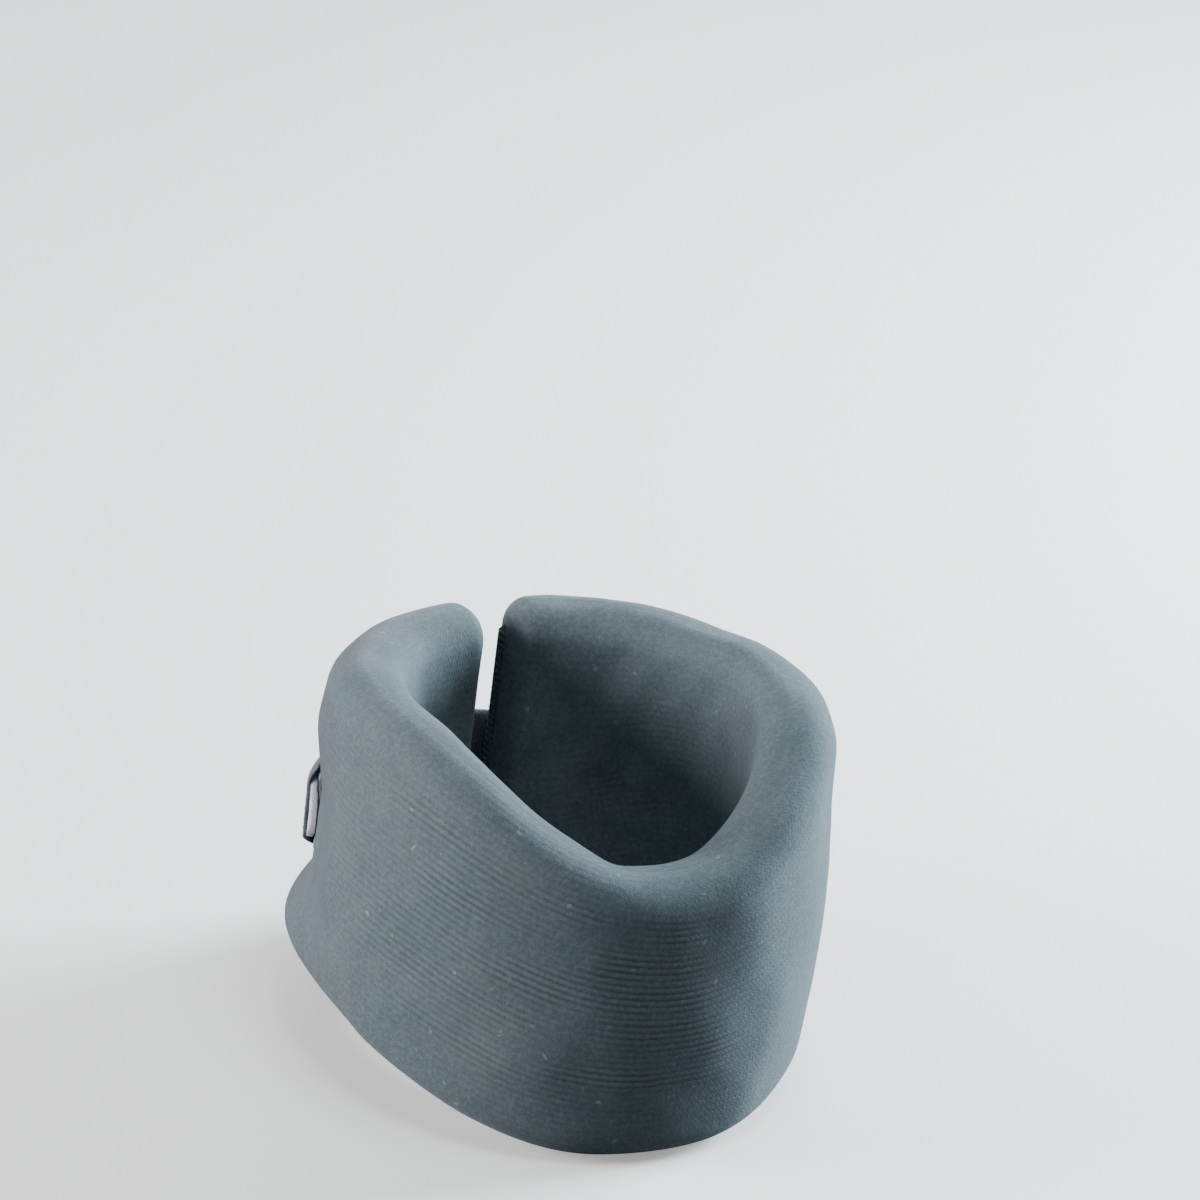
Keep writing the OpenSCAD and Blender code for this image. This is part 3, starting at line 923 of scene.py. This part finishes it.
class Graph:
    """Small helper for building node materials."""

    def __init__(self, name):
        self.material = bpy.data.materials.new(name)
        self.material.use_nodes = True
        self.tree = self.material.node_tree
        self.tree.nodes.clear()
        self.spot = self.add("ShaderNodeTexCoord").outputs["Object"]

    def add(self, kind, inputs=None, **settings):
        """Adds a node; inputs gives a number, a colour or another node's output to each socket."""
        node = assign(self.tree.nodes.new(kind), **settings)
        for key, value in (inputs or {}).items():
            if hasattr(value, "links"):
                self.tree.links.new(value, node.inputs[key])
            elif value is not None:
                node.inputs[key].default_value = value
        return node

    def math(self, op, a, b=0.0):
        return self.add("ShaderNodeMath", {0: a, 1: b}, operation=op).outputs[0]

    def times(self, a, b):
        return self.math("MULTIPLY", a, b)

    def wave(self, value, per_unit):
        return self.math("SINE", self.times(value, 2 * math.pi * per_unit))

    def parts(self, vector):
        node = self.add("ShaderNodeSeparateXYZ", {0: vector})
        return [node.outputs[axis] for axis in "XYZ"]

    def noise(self, scale, detail, rough=0.5, vector=None, output="Fac"):
        inputs = {"Scale": scale, "Detail": detail, "Roughness": rough}
        inputs["Vector"] = vector or self.spot
        return self.add("ShaderNodeTexNoise", inputs).outputs[output]

    def span(self, value, low, high, to_low=0.0, to_high=1.0):
        inputs = {"Value": value, "From Min": low, "From Max": high}
        inputs.update({"To Min": to_low, "To Max": to_high})
        return self.add("ShaderNodeMapRange", inputs).outputs["Result"]

    def blend(self, fac, a, b):
        # The colour sockets share their names with the others, so they are taken by index
        return self.add("ShaderNodeMix", {0: fac, 6: a, 7: b}, data_type="RGBA").outputs[2]

    def bump(self, height, strength, distance, normal=None):
        inputs = {"Height": height, "Strength": strength, "Distance": distance, "Normal": normal}
        return self.add("ShaderNodeBump", inputs).outputs["Normal"]

    def finish(self, base, roughness, normal=None, **more):
        """Gives the material; more names inputs of its shader, with _ for a space."""
        inputs = {"Base Color": base, "Roughness": roughness, "Normal": normal}
        inputs.update({name.replace("_", " "): value for name, value in more.items()})
        shader = self.add("ShaderNodeBsdfPrincipled", inputs)
        self.add("ShaderNodeOutputMaterial", {"Surface": shader.outputs["BSDF"]})
        return self.material


def srgb(r, g, b):
    """Colour given as 0 to 255 display values, as linear RGBA."""
    def lin(c):
        c = c / 255
        return c / 12.92 if c <= 0.04045 else ((c + 0.055) / 1.055) ** 2.4
    return (lin(r), lin(g), lin(b), 1.0)


STITCH_MM = 1.35
# Metres from the collar's middle to the strap
STRAP_RADIUS = 0.070


def knit_material():
    """Blue-grey rib knit: V stitches along each rib, heathered yarn, soft fuzz and a few pills,
    with painted shade in the grooves and the dips between stitches and a painted highlight on each
    rib's crown.
    """
    g = Graph("rib_knit")
    u, v, _ = g.parts(g.add("ShaderNodeUVMap", uv_map="knit").outputs["UV"])
    show = g.add("ShaderNodeAttribute", attribute_name="rib_show").outputs["Fac"]
    across = g.math("FRACT", v)
    from_mid = g.math("ABSOLUTE", g.math("SUBTRACT", across, 0.5))
    groove = g.times(g.span(from_mid, 0.27, 0.5), show)
    lean_in = g.times(from_mid, 1.5)
    phase = g.math("ADD", g.math("DIVIDE", u, STITCH_MM), lean_in)
    stitch = g.times(g.math("ADD", g.wave(phase, 1), 1.0), 0.5)
    slow = g.noise(30, 3, 0.6)
    blotch = g.noise(150, 3, 0.6)
    heather = g.noise(780, 3, 0.7)
    yarn = g.noise(2600, 3, 0.7)
    fleck = g.span(g.noise(400, 1, 0.3), 0.76, 0.82)
    base = g.blend(g.span(slow, 0.32, 0.68), srgb(84, 98, 105), srgb(98, 107, 112))
    tints = [
        (g.span(blotch, 0.35, 0.7, 0.0, 0.35), (72, 87, 94)),
        (g.span(heather, 0.42, 0.72, 0.0, 0.5), (122, 135, 140)),
        (g.span(yarn, 0.40, 0.72, 0.0, 0.42), (54, 64, 71)),
        # Painted shade in the grooves between the ribs
        (g.times(groove, 0.38), (30, 37, 43)),
        # Painted highlight on the crown of each rib, then painted shade in the dips between
        # stitches, then the flecks
        (g.times(g.span(from_mid, 0.25, 0.0, 0.0, 0.22), show), (132, 144, 150)),
        (g.span(stitch, 0.0, 0.4, 0.03, 0.0), (46, 54, 61)),
        (g.times(fleck, 0.32), (168, 178, 182)),
    ]
    for amount, colour in tints:
        base = g.blend(amount, base, srgb(*colour))
    height = g.times(stitch, g.math("SUBTRACT", 1.0, groove))
    fuzz = g.bump(yarn, 0.6, 0.00018, g.bump(height, 0.16, 0.00015))
    return g.finish(
        base, g.span(heather, 0.2, 0.8, 0.86, 0.98), g.bump(heather, 0.45, 0.00022, fuzz),
        Specular_IOR_Level=0.12, Sheen_Weight=0.28, Sheen_Roughness=0.5,
        Sheen_Tint=srgb(176, 190, 198))


def foam_material():
    """Cream open-cell foam, with painted shade in its cells."""
    g = Graph("foam")
    cells = g.add("ShaderNodeTexVoronoi", {"Scale": 900, "Vector": g.spot}).outputs["Distance"]
    slow = g.noise(40, 3)
    base = g.blend(slow, srgb(226, 216, 190), srgb(206, 194, 164))
    # Painted shade in the open cells, darkest at their middles
    base = g.blend(g.span(cells, 0.0, 0.4, 0.45, 0.0), base, srgb(150, 138, 108))
    return g.finish(base, 0.95, g.bump(cells, 0.7, 0.0004))


def webbing_material():
    """Plain weave whose threads run round the neck and across it."""
    g = Graph("strap_weave")
    dark, light = srgb(72, 82, 92), srgb(108, 120, 130)
    threads_per_metre = 1500
    x, y, z = g.parts(g.spot)
    around = g.math("ARCTAN2", x, g.times(y, -1.0))
    warp = g.wave(around, threads_per_metre * STRAP_RADIUS)
    weave = g.times(warp, g.wave(z, threads_per_metre))
    soft = g.noise(90, 3)
    fine = g.noise(3200, 2)
    base = g.blend(g.span(weave, -1, 1), dark, light)
    base = g.blend(g.span(soft, 0.3, 0.7, 0.0, 0.35), base, light)
    base = g.blend(g.span(fine, 0.4, 0.7, 0.0, 0.3), base, dark)
    normal = g.bump(fine, 0.4, 0.00012, g.bump(weave, 0.6, 0.0002))
    return g.finish(base, 0.85, normal, Specular_IOR_Level=0.25, Sheen_Weight=0.2)


def loop_material():
    """Brushed loop pile: tangled fine curls."""
    g = Graph("loop_pile")
    sway = {0: g.noise(700, 2, output="Color"), "Scale": 0.0016}
    shift = g.add("ShaderNodeVectorMath", sway, operation="SCALE").outputs[0]
    moved = g.add("ShaderNodeVectorMath", {0: g.spot, 1: shift}, operation="ADD")
    curls = g.noise(2400, 3, 0.7, moved.outputs[0])
    slow = g.noise(60, 2)
    base = g.blend(g.span(curls, 0.35, 0.65), srgb(88, 99, 108), srgb(148, 159, 167))
    base = g.blend(g.span(slow, 0.3, 0.7, 0, 0.3), base, srgb(112, 124, 133))
    return g.finish(base, 0.95, g.bump(curls, 0.9, 0.0004), Sheen_Weight=0.5)


def hook_material():
    """Pale moulded nylon."""
    g = Graph("hook_tape")
    fine = g.noise(1800, 2)
    base = g.blend(g.span(fine, 0.3, 0.7), srgb(206, 207, 222), srgb(232, 232, 240))
    return g.finish(
        base, 0.42, g.bump(fine, 0.25, 0.0001), Specular_IOR_Level=0.5, Subsurface_Weight=0.15,
        Subsurface_Radius=(0.001, 0.001, 0.001))


def thread_material(name, dark, light):
    """Twisted sewing thread."""
    g = Graph(name)
    x, y, z = g.parts(g.spot)
    twist = g.wave(g.math("ADD", g.math("ADD", x, y), z), 1700)
    fine = g.noise(4000, 2)
    base = g.blend(g.span(twist, -1, 1), dark, light)
    base = g.blend(g.span(fine, 0.4, 0.7, 0, 0.3), base, light)
    return g.finish(base, 0.6, g.bump(twist, 0.5, 0.0001), Sheen_Weight=0.2)


def label_material():
    """Blank satin label."""
    g = Graph("label_satin")
    rows = g.wave(g.parts(g.spot)[2], 2600)
    slow = g.noise(120, 2)
    base = g.blend(slow, srgb(232, 231, 226), srgb(244, 243, 240))
    return g.finish(base, 0.38, g.bump(rows, 0.3, 0.00008), Sheen_Weight=0.3)


def floor_material():
    """Pale floor that takes shadows; it throws little light back on the collar."""
    g = Graph("studio_floor")
    slow = g.noise(3, 2)
    seen = g.add("ShaderNodeLightPath").outputs["Is Camera Ray"]
    base = g.blend(slow, srgb(236, 236, 236), srgb(242, 242, 242))
    base = g.blend(seen, srgb(110, 112, 114), base)
    glow = g.times(seen, 0.36)
    return g.finish(base, 0.7, Emission_Strength=glow, Emission_Color=(1.0, 1.0, 1.0, 1.0))


# ---- Building the collar ----

KNIT = knit_material()
FOAM = foam_material()
WEBBING = webbing_material()
HOOKS = hook_material()
LOOPS = loop_material()
THREAD = thread_material("thread", srgb(46, 54, 62), srgb(84, 94, 102))
PALE_THREAD = thread_material("label_thread", srgb(120, 124, 128), srgb(170, 173, 176))
LABEL = label_material()


# Half the widths of the zones about the hinge lines of the pad and the strap, as given to each
# bend
BEND_HALF = 19.0
STRAP_BEND_HALF = 6.0
LEAD_BEND_HALF = 3.6
# How far past its line the tip's bend bearing is set
TIP_BEND_PAST = 4.0

# Bends: the two bodies, bearing, half width, and 1 if the second body is at a higher bearing
ROOT_BEND = ("left_back", "strap_lead", BEND_LINE, LEAD_BEND_HALF, 1)
PEEL_BEND = ("strap_lead", "strap", PEEL_LINE, LEAD_BEND_HALF, 1)
TIP_BEND = ("strap", "strap_tip", TIP_LINE + TIP_BEND_PAST / FACE_MM, STRAP_BEND_HALF, 1)
LOOP_BEND = ("right_back", "right_side", -BEND_REAR, BEND_HALF, 1)

# The lengths of the cover and the foam: from, to, closed end, the two bodies and their hinge
LENGTHS = [
    ("front_right", -SPLIT_SIDE, SPLIT_FRONT, 0, "front", "right_side", -BEND_FRONT),
    ("front_left", SPLIT_FRONT, SPLIT_SIDE, 0, "front", "left_side", BEND_FRONT),
    ("rear_right", -SPLIT_SIDE, None, -1, "right_side", "right_back", -BEND_REAR),
    ("rear_left", SPLIT_SIDE, None, 1, "left_side", "left_back", BEND_REAR),
]


def bend_over(obj, body_a, body_b, bearing, half, towards):
    """Bakes the object's transform into its mesh."""
    z = float(middle_z(bearing))
    centre = place(bearing, float(outer_n(bearing, z)), z)
    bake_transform(obj)


def fit(obj, material, slot_name, bodies, *nodes):
    """Gives a piece its material and either its body or, for a bend, a baked transform, and has it
    stand for CAD nodes.
    """
    obj.data.materials.append(material)
    if isinstance(bodies, str):
        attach(obj, bodies)
    else:
        bend_over(obj, *bodies)
    if nodes:
        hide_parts(*nodes)


def build_cover():
    layers = [("cover", cover_piece, KNIT, "rib_knit"), ("foam", foam_piece, FOAM, "foam")]
    for name, b0, b1, side, body_a, body_b, line in LENGTHS:
        bend = (body_a, body_b, line, BEND_HALF, math.copysign(1, line))
        for layer, make, material, slot_name in layers:
            piece = make(f"{layer}_{name}", b0, b1, side)
            fit(piece, material, slot_name, bend, f"{layer}_{body_a}", f"{layer}_{body_b}")


# Where the strap is divided, so that each piece spans one hinge line
ROOT_SPLIT = -182.35
STRAP_SPLIT = -160.0


def build_strap():
    root = strap_piece("strap_backing_root", ROOT_START, ROOT_SPLIT)
    fit(root, WEBBING, "strap_webbing", ROOT_BEND, "strap_root", "strap_lead")
    lead = strap_piece("strap_backing_lead", ROOT_SPLIT, STRAP_SPLIT)
    fit(lead, WEBBING, "strap_webbing", PEEL_BEND, "strap_lead", "strap_band")
    tip = strap_piece("strap_backing_tip", STRAP_SPLIT, TIP_BEARING, TIP_R)
    fit(tip, WEBBING, "strap_webbing", TIP_BEND, "strap_band", "strap_tip")
    base = hook_piece("hook_strip")
    fit(base, HOOKS, "hook_tape", TIP_BEND, "hook_strip_band", "hook_strip_tip")
    loops = loop_piece("loop_strip")
    fit(loops, LOOPS, "loop_tape", LOOP_BEND, "loop_strip_back", "loop_strip_side")
    hooks = thread_mesh("hooks", hook_field())
    fit(hooks, HOOKS, "hook_tape", TIP_BEND)


# The hooks: how far apart, in from the strip's edges and from its cut end, and their wire's radius
HOOK_PITCH = 1.7
HOOK_MARGIN = 1.2
HOOK_LAST = 1.9
HOOK_WIRE_R = 0.11
# One hook's line: distance from the base, and height
HOOK_LINE = [(0.05, 0.0), (-0.16, 0.0), (-0.32, 0.08), (-0.36, 0.24), (-0.24, 0.34)]


def hook_field():
    """Staggered rows of small moulded hooks on the hook strip's inner face."""
    arcs = []
    half_w = HOOK_W / 2 - HOOK_MARGIN
    last = HOOK_END - HOOK_LAST / FACE_MM
    for i in range(int((last - HOOK_START) * FACE_MM / HOOK_PITCH)):
        b = HOOK_START + 1.2 + i * HOOK_PITCH / FACE_MM
        from_end = (last - b) * FACE_MM
        for j in range(int(2 * half_w / HOOK_PITCH) + 1):
            d = -half_w + (j + i % 2 / 2) * HOOK_PITCH
            if from_end >= 0 and abs(d) <= round_end(half_w, HOOK_TIP_R - HOOK_MARGIN, from_end):
                arcs.append(one_hook(b, d))
    return arcs


def one_hook(b, d):
    root = on_pad(b, d, hook_offset(b, d))
    out, up = outward(b), np.array([0.0, 0.0, 1.0])
    side = np.cross(out, up)
    return np.array([
        wire_ring(root + out * n + up * rise, HOOK_WIRE_R, up, side, 3) for n, rise in HOOK_LINE
    ])


# How far the seams lie in from the edges of the strap's root, the hook strip and the loops
ROOT_SEAM = 3.0
HOOK_SEAM = 1.2
LOOP_SEAM = 1.1


def build_stitching():
    def on_strap(b, d):
        return backing_offset(b, d) + STRAP_T - 0.12

    def on_loops(_b, _d):
        return LAY + LOOP_T - 0.2

    # A crossed box on the root
    edge = STRAP_W / 2 - ROOT_SEAM
    b0 = ROOT_START + ROOT_SEAM / FACE_MM
    b1 = ROOT_END - 4 / FACE_MM
    box = [(b0, -edge), (b1, -edge), (b1, edge), (b0, edge), (b0, -edge)]
    arcs = seam_path(box, on_strap) + seam_path([(b0, -edge), (b1, edge)], on_strap)
    arcs += seam_path([(b0, edge), (b1, -edge)], on_strap)
    cross = thread_mesh("strap_root_thread", arcs)
    fit(cross, THREAD, "thread", "left_back", "strap_root_stitching")

    # One line all round the hook strip, through the backing
    edge = HOOK_W / 2 - HOOK_SEAM
    r = HOOK_TIP_R - HOOK_SEAM
    start = HOOK_START + 2 / FACE_MM
    end = TIP_BEARING - 1.6 / FACE_MM
    bends = [(end - (r - r * math.sin(q)) / FACE_MM, (edge - r) + r * math.cos(q))
             for q in np.radians(np.linspace(0, 90, 8))]
    line = [(start, -edge), (start, edge)] + bends
    line += [(b, -d) for b, d in reversed(bends)] + [(start, -edge)]
    band = thread_mesh("strap_edge_thread", seam_path(line, on_strap))
    fit(band, THREAD, "thread", TIP_BEND, "band_stitching", "tip_stitching")

    # Four lines round the loop strip
    edge = LOOP_W / 2 - LOOP_SEAM
    b0, b1 = LOOP_START + 1, LOOP_END - 1
    lines = [[(b0, d), (b1, d)] for d in (-edge, edge)]
    lines += [[(b, -edge), (b, edge)] for b in (b0, b1)]
    arcs = [arc for line in lines for arc in seam_path(line, on_loops)]
    loops = thread_mesh("loop_strip_thread", arcs)
    fit(loops, THREAD, "thread", LOOP_BEND, "loop_stitching_back", "loop_stitching_side")


OVERLOCK_MM = 1.9


def build_end_seams():
    """Overlock stitches round the standing seam at each end of the cover."""
    for hand, side in (("right", -1), ("left", 1)):
        b = side * END_BEARING
        out, along = outward(b), tangent(b) * side
        low = float(bottom_z(b)) + END_R + 2
        high = float(top_z(b)) - END_R - 2
        count = int((high - low) / OVERLOCK_MM)
        arcs = []
        for i in range(count):
            # A stitch on each face, from the seam's foot over to its standing edge
            z0, z1 = mix(low, high, (i + np.array([0, 0.55])) / count)
            foot = place(b, lean_n(z0) - PAD_T / 2, z0) + along * 0.75
            for face in (-out, out):
                tip = foot + face * 0.12 + along * 1.75
                tip[2] = z1
                arcs.append(thread_arc(foot + face * 0.55, tip, face, 0.05, 0.22))
        seam = thread_mesh(f"{hand}_end_overlock", arcs)
        fit(seam, THREAD, "thread", f"{hand}_back", f"{hand}_end_seam")


LABEL_W = 24.0
LABEL_H = 15.0
LABEL_T = 0.25
LABEL_GAP = 0.35
LABEL_BEARING = -100.0
LABEL_COLUMNS, LABEL_ROWS = 27, 17
LABEL_SEAM = 1.4
LABEL_STITCHES = 7


def build_label():
    """A blank label inside the cover, sewn at its two ends and a little proud between them."""
    half = LABEL_W / 2 / FACE_MM
    first, last = LABEL_BEARING - half, LABEL_BEARING + half
    z0 = float(middle_z(LABEL_BEARING)) - LABEL_H / 2
    curl = Waves(9, 41)
    d = np.linspace(0, LABEL_H, LABEL_ROWS)
    z = z0 + np.concatenate([d, d[::-1]])
    thick = np.repeat([0, LABEL_T], LABEL_ROWS)
    made = []
    for b in np.linspace(first, last, LABEL_COLUMNS):
        ring = place(b, inner_n(b, z) - PAD_T - LABEL_GAP - thick, z)
        free = math.sin(math.pi * (b - LABEL_BEARING + half) / (2 * half))
        made.append(ring - outward(b) * (0.35 * free * (1 + curl(ring)))[:, None])
    n = 2 * LABEL_ROWS
    faces = list(wall_faces(n, LABEL_COLUMNS)) + ring_caps(LABEL_COLUMNS, n)
    label = make_mesh("blank_label", np.concatenate(made), faces)
    fit(label, LABEL, "label_tape", "right_side", "care_label")
    arcs = []
    for b in (first + LABEL_SEAM, last - LABEL_SEAM):
        for i in range(LABEL_STITCHES):
            z = z0 + LABEL_H * (i + np.array([0.15, 0.85])) / LABEL_STITCHES
            ends = place(b, inner_n(b, z) - PAD_T - LABEL_GAP - LABEL_T - 0.02, z)
            arcs.append(thread_arc(ends[0], ends[1], -outward(b), 0.3, 0.2))
    seam = thread_mesh("label_seam_thread", arcs)
    fit(seam, PALE_THREAD, "thread", "right_side", "care_label_stitching")


build_cover()
build_strap()
build_stitching()
build_end_seams()
build_label()

# ---- Studio ----

VIEW_AZIMUTH = -27.0
VIEW_ELEVATION = 26.6
VIEW_ROLL = 7.2
VIEW_DISTANCE = 1.6
VIEW_LENS = 182.4
# The camera looks past the collar's middle, which leaves it low in the frame
AIM_RIGHT = 0.0105
AIM_UP = 0.0732

# Softboxes: azimuth, elevation, distance, size, power and colour
LIGHTS = {
    "key_left": (-101, 14, 1.15, 0.5, 22, (1.0, 0.985, 0.97)),
    "key_right": (97, 18, 1.15, 0.5, 54, (0.84, 0.95, 1.0)),
    "overhead": (14, 80, 1.3, 0.6, 10, (0.90, 0.98, 1.0)),
    "rear": (168, 38, 1.4, 0.8, 5, (1.0, 1.0, 1.0)),
}
FLOOR_HALF = 4.0
# Just under the collar
FLOOR_Z = -0.0005
AMBIENT = (0.95, 0.96, 0.97, 1)
AMBIENT_STRENGTH = 0.07


def direction(azimuth, elevation):
    """Unit vector from the collar; azimuth 0 is in front and positive is the wearer's left."""
    a, e = math.radians(azimuth), math.radians(elevation)
    return Vector((math.sin(a) * math.cos(e), -math.cos(a) * math.cos(e), math.sin(e)))


def build_camera():
    back = direction(VIEW_AZIMUTH, VIEW_ELEVATION)
    a, roll = math.radians(VIEW_AZIMUTH), math.radians(VIEW_ROLL)
    right = Vector((math.cos(a), math.sin(a), 0))
    up = back.cross(right)
    right_r = right * math.cos(roll) + up * math.sin(roll)
    up_r = up * math.cos(roll) - right * math.sin(roll)
    centre = Vector((0, 0, 0.045))
    location = centre + back * VIEW_DISTANCE
    target = centre + right_r * AIM_RIGHT + up_r * AIM_UP
    z_axis = (location - target).normalized()
    x_axis = up_r.cross(z_axis).normalized()
    y_axis = z_axis.cross(x_axis)
    camera = add_object("camera", bpy.data.cameras.new("camera"))
    basis = Matrix((x_axis, y_axis, z_axis)).transposed().to_4x4()
    camera.matrix_world = Matrix.Translation(location) @ basis
    assign(camera.data, lens=VIEW_LENS, sensor_width=36.0, clip_end=20.0)
    bpy.context.scene.camera = camera


def soft_light(name, azimuth, elevation, distance, size, power, colour):
    """Area light aimed at the collar."""
    way = direction(azimuth, elevation)
    lamp = add_object(name, bpy.data.lights.new(name, "AREA"))
    assign(lamp.data, energy=power, size=size, color=colour)
    lamp.location = Vector((0, 0, 0.05)) + way * distance
    lamp.rotation_mode = "QUATERNION"
    lamp.rotation_quaternion = way.to_track_quat("Z", "Y")


def build_studio():
    corners = [(x * FLOOR_HALF, y * FLOOR_HALF, FLOOR_Z)
               for x, y in ((-1, -1), (1, -1), (1, 1), (-1, 1))]
    mesh = bpy.data.meshes.new("floor")
    mesh.from_pydata(corners, [], [(0, 1, 2, 3)])
    floor = add_object("floor", mesh)
    floor.data.materials.append(floor_material())
    for name, settings in LIGHTS.items():
        soft_light(name, *settings)
    world = bpy.data.worlds.new("studio")
    world.use_nodes = True
    background = world.node_tree.nodes["Background"].inputs
    background[0].default_value = AMBIENT
    background[1].default_value = AMBIENT_STRENGTH
    bpy.context.scene.world = world


build_camera()
build_studio()
